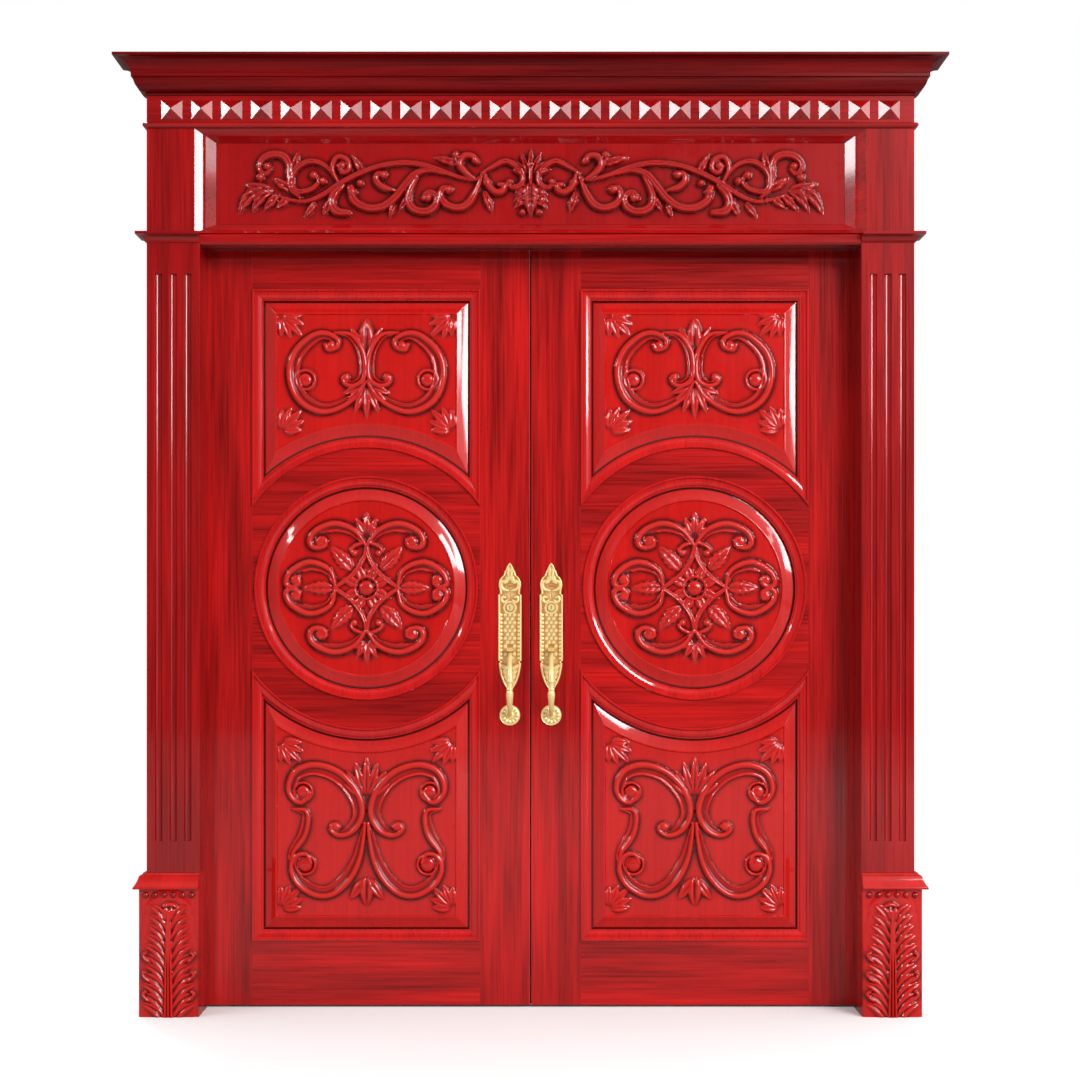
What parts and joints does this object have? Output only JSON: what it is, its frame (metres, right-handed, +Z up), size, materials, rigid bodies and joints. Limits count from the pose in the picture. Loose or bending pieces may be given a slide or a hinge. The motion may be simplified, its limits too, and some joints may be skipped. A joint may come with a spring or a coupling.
{
  "type": "double door",
  "caption": "Carved hardwood double door with its frame: pilasters, frieze and cornice round two panelled leaves that swing inward, with brass pull handles.",
  "frame": {"origin": "floor level at the middle of the opening, on the wall face plane", "axes": "+Z up, +X to the right as seen from outside, +Y into the room"},
  "size_m": [2.262, 0.3025, 2.62],
  "materials": {
    "frame_wood": "deep red gloss lacquer on hardwood",
    "leaf_wood": "deep red gloss lacquer on hardwood",
    "carved_wood": "deep red gloss lacquer on carved hardwood",
    "moulded_wood": "deep red gloss lacquer on moulded hardwood",
    "brass": "polished cast brass",
    "steel": "brushed steel"
  },
  "bodies": {
    "frame": {"left_jamb": "frame_wood", "right_jamb": "frame_wood", "head_jamb": "frame_wood", "left_pilaster": "frame_wood", "right_pilaster": "frame_wood", "left_capital": "moulded_wood", "right_capital": "moulded_wood", "left_plinth": "carved_wood", "right_plinth": "carved_wood", "left_frieze_block": "frame_wood", "right_frieze_block": "frame_wood", "header_backboard": "frame_wood", "frieze_frame": "moulded_wood", "frieze_panel": "carved_wood", "transom_moulding": "moulded_wood", "astragal_moulding": "moulded_wood", "stud_band": "frame_wood", "nailhead_studs": "carved_wood", "cornice": "moulded_wood", "frame_hinge_plates": "brass", "hinge_pins": "brass", "head_strike": "steel"},
    "left_leaf": {"left_hinge_stile": "leaf_wood", "left_meeting_stile": "leaf_wood", "left_top_rail": "leaf_wood", "left_bottom_rail": "leaf_wood", "left_upper_arch_rail": "leaf_wood", "left_lower_arch_rail": "leaf_wood", "left_upper_panel": "carved_wood", "left_round_panel": "carved_wood", "left_lower_panel": "carved_wood", "left_panel_mouldings": "moulded_wood", "left_hinge_plates": "brass", "left_handle_plate": "brass", "left_pull_grip": "brass", "left_thumb_piece": "brass", "left_key_cylinder": "brass", "left_inside_handle": "brass", "strike_plate": "steel"},
    "right_leaf": {"right_hinge_stile": "leaf_wood", "right_meeting_stile": "leaf_wood", "right_top_rail": "leaf_wood", "right_bottom_rail": "leaf_wood", "right_upper_arch_rail": "leaf_wood", "right_lower_arch_rail": "leaf_wood", "right_upper_panel": "carved_wood", "right_round_panel": "carved_wood", "right_lower_panel": "carved_wood", "right_panel_mouldings": "moulded_wood", "right_hinge_plates": "brass", "right_handle_plate": "brass", "right_pull_grip": "brass", "right_inside_handle": "brass", "lock_case": "steel"},
    "thumb": {"right_thumb_piece": "brass"},
    "key": {"right_key_cylinder": "brass"},
    "latch": {"latch_bolt": "steel"},
    "deadbolt": {"dead_bolt": "steel"},
    "top_bolt": {"top_flush_bolt": "steel"},
    "bottom_bolt": {"bottom_flush_bolt": "steel"}
  },
  "joints": [
    {"name": "left_swing", "type": "hinge", "parent": "frame", "child": "left_leaf", "pos_m": [-0.9215, 0.112, 1], "axis": [0, 0, 1], "range_deg": [0, 100]},
    {"name": "right_swing", "type": "hinge", "parent": "frame", "child": "right_leaf", "pos_m": [0.9215, 0.112, 1], "axis": [0, 0, -1], "range_deg": [0, 100]},
    {"name": "thumb_tilt", "type": "hinge", "parent": "right_leaf", "child": "thumb", "pos_m": [0.058, 0.06, 1.007], "axis": [-1, 0, 0], "range_deg": [0, 12]},
    {"name": "latch_slide", "type": "slide", "parent": "right_leaf", "child": "latch", "axis": [-1, 0, 0], "range_m": [0, 0.012]},
    {"name": "key_turn", "type": "hinge", "parent": "right_leaf", "child": "key", "pos_m": [0.058, 0.055, 1.122], "axis": [0, 1, 0], "range_deg": [0, 90]},
    {"name": "dead_bolt_slide", "type": "slide", "parent": "right_leaf", "child": "deadbolt", "axis": [-1, 0, 0], "range_m": [0, 0.02]},
    {"name": "top_bolt_slide", "type": "slide", "parent": "left_leaf", "child": "top_bolt", "axis": [0, 0, 1], "range_m": [0, 0.015]},
    {"name": "bottom_bolt_slide", "type": "slide", "parent": "left_leaf", "child": "bottom_bolt", "axis": [0, 0, -1], "range_m": [0, 0.015]}
  ],
  "couplings": [
    {"joint": "latch_slide", "follows": "thumb_tilt", "m_per_rad": 0.05729},
    {"joint": "key_turn", "follows": "dead_bolt_slide", "rad_per_m": 78.5}
  ]
}
